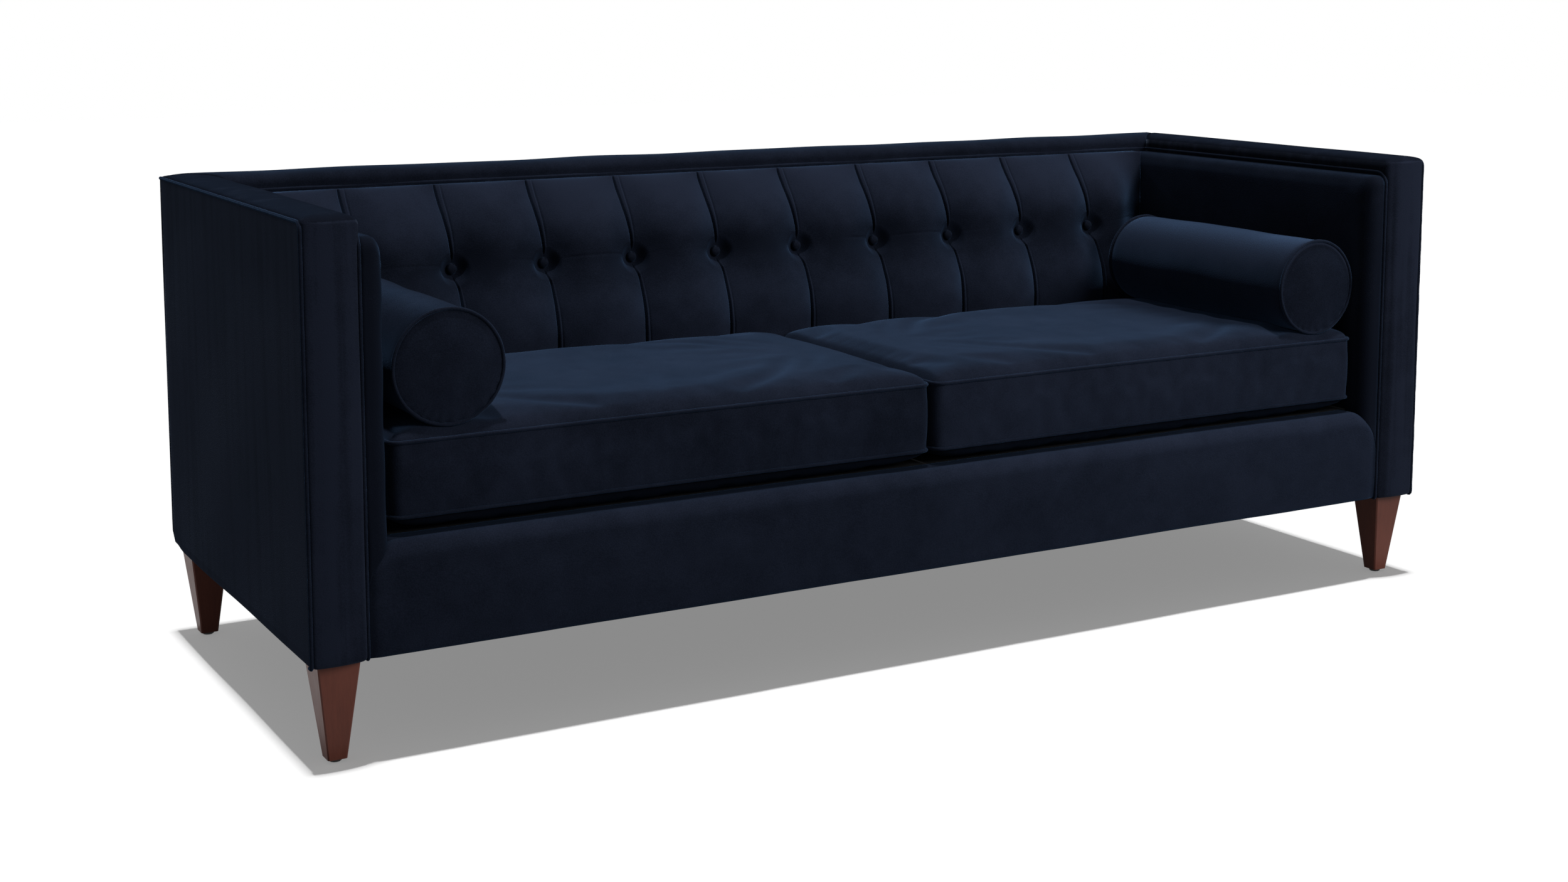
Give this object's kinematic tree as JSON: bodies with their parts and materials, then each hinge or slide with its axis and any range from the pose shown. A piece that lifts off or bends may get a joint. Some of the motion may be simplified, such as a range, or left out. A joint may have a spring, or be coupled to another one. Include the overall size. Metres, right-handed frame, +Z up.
{
  "type": "tuxedo sofa",
  "caption": "Tuxedo sofa in dark blue velvet with arms as high as the back, a channel-tufted buttoned back, boxed seat cushions, bolsters and tapered wooden legs.",
  "frame": {"origin": "on the floor under the middle of the sofa, at the bottom centre of its bounding box", "axes": "+X along the sofa's length to the viewer's right as seen from the front, +Y towards the back, +Z up"},
  "size_m": [2.134, 0.79, 0.794],
  "materials": {
    "velvet": "matte",
    "leg_wood": "satin",
    "frame_wood": "matte",
    "steel": "satin",
    "glide_plastic": "matte",
    "lining": "matte"
  },
  "bodies": {
    "root": {"leg_front_left": "leg_wood", "glide_front_left": "glide_plastic", "leg_bolt_front_left": "steel", "leg_plate_front_left": "steel", "leg_front_right": "leg_wood", "glide_front_right": "glide_plastic", "leg_bolt_front_right": "steel", "leg_plate_front_right": "steel", "leg_back_left": "leg_wood", "glide_back_left": "glide_plastic", "leg_bolt_back_left": "steel", "leg_plate_back_left": "steel", "leg_back_right": "leg_wood", "glide_back_right": "glide_plastic", "leg_bolt_back_right": "steel", "leg_plate_back_right": "steel", "frame_front_rail": "frame_wood", "frame_back_rail": "frame_wood", "frame_back_top": "frame_wood", "frame_centre_stretcher": "frame_wood", "frame_side_rail_left": "frame_wood", "frame_arm_top_left": "frame_wood", "frame_front_post_left": "frame_wood", "frame_back_post_left": "frame_wood", "frame_back_upright_left": "frame_wood", "frame_side_rail_right": "frame_wood", "frame_arm_top_right": "frame_wood", "frame_front_post_right": "frame_wood", "frame_back_post_right": "frame_wood", "frame_back_upright_right": "frame_wood", "seat_spring_1": "steel", "seat_spring_2": "steel", "seat_spring_3": "steel", "seat_spring_4": "steel", "seat_spring_5": "steel", "seat_spring_6": "steel", "deck": "lining", "dust_cover": "lining", "rail_cover": "velvet", "arm_cover_left": "velvet", "arm_pad_left": "velvet", "arm_cover_right": "velvet", "arm_pad_right": "velvet", "back_cover": "velvet", "back_pad": "velvet", "button_1": "velvet", "button_2": "velvet", "button_3": "velvet", "button_4": "velvet", "button_5": "velvet", "button_6": "velvet", "button_7": "velvet", "button_8": "velvet", "button_9": "velvet", "button_10": "velvet"},
    "seat_cushion_left": {"seat_cushion_left": "velvet"},
    "seat_cushion_right": {"seat_cushion_right": "velvet"},
    "bolster_left": {"bolster_left": "velvet"},
    "bolster_right": {"bolster_right": "velvet"}
  },
  "joints": [
    {"name": "seat_cushion_left_lift", "type": "slide", "parent": "root", "child": "seat_cushion_left", "axis": [0, 0, 1], "range_m": [0, 0.5]},
    {"name": "seat_cushion_right_lift", "type": "slide", "parent": "root", "child": "seat_cushion_right", "axis": [0, 0, 1], "range_m": [0, 0.5]},
    {"name": "bolster_left_lift", "type": "slide", "parent": "seat_cushion_left", "child": "bolster_left", "axis": [0, 0, 1], "range_m": [0, 0.33]},
    {"name": "bolster_right_lift", "type": "slide", "parent": "seat_cushion_right", "child": "bolster_right", "axis": [0, 0, 1], "range_m": [0, 0.33]}
  ]
}
